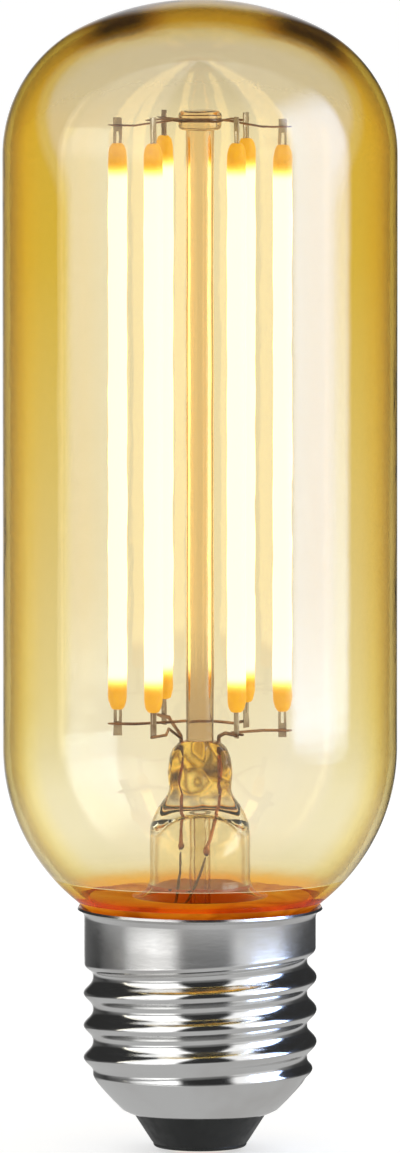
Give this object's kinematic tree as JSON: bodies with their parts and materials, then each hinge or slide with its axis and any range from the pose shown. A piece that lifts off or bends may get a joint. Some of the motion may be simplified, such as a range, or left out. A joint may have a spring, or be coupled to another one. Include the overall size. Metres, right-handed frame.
{
  "type": "tubular light bulb",
  "caption": "Tubular amber glass light bulb with a ring of long light sticks on a glass stem and a rolled metal screw cap.",
  "frame": {"origin": "on the bulb's axis, at the lowest point of the centre contact under the cap", "axes": "+Z along the axis from the cap to the domed top; -Y is the side the picture shows, +X its right"},
  "size_m": [0.0442, 0.0442, 0.1294],
  "materials": {
    "amber_glass": "clear amber blown glass",
    "stem_glass": "clear fire-polished glass",
    "light_stick": "lit phosphor coating, white in the middle and amber at the tips",
    "tab_metal": "thin stamped strip",
    "wire_metal": "drawn wire, heat-browned",
    "copper_wire": "copper-coated wire",
    "cement": "matt brown capping cement",
    "cap_metal": "bright rolled nickel-plated sheet",
    "black_insulator": "moulded, slightly rough",
    "contact_brass": "spun rivet",
    "board": "glass-fibre circuit board",
    "black_component": "moulded component body",
    "capacitor_sleeve": "shrunk sleeve",
    "resistor_coat": "lacquered body"
  },
  "bodies": {
    "root": {"glass_envelope": "amber_glass", "glass_stem": "stem_glass", "exhaust_tube": "stem_glass", "glass_rod": "stem_glass", "light_stick_1": "light_stick", "light_stick_2": "light_stick", "light_stick_3": "light_stick", "light_stick_4": "light_stick", "light_stick_5": "light_stick", "light_stick_6": "light_stick", "lower_tab_1": "tab_metal", "lower_tab_2": "tab_metal", "lower_tab_3": "tab_metal", "lower_tab_4": "tab_metal", "lower_tab_5": "tab_metal", "lower_tab_6": "tab_metal", "upper_tab_1": "tab_metal", "upper_tab_2": "tab_metal", "upper_tab_3": "tab_metal", "upper_tab_4": "tab_metal", "upper_tab_5": "tab_metal", "upper_tab_6": "tab_metal", "top_wire_front": "wire_metal", "top_wire_middle": "wire_metal", "top_wire_back": "wire_metal", "left_inner_lead": "wire_metal", "left_branch_wire": "wire_metal", "right_inner_lead": "wire_metal", "right_jumper": "wire_metal", "rear_link_wire": "wire_metal", "left_seal_wire": "copper_wire", "right_seal_wire": "copper_wire", "left_outer_lead": "copper_wire", "right_outer_lead": "copper_wire", "left_driver_wire": "wire_metal", "right_driver_wire": "wire_metal", "cap_wire": "wire_metal", "capping_cement": "cement", "cap_shell": "cap_metal", "cap_insulator": "black_insulator", "centre_contact": "contact_brass", "driver_board": "board", "bridge_rectifier": "black_component", "smoothing_capacitor": "capacitor_sleeve", "driver_chip": "black_component", "fuse_resistor": "resistor_coat"}
  },
  "joints": []
}
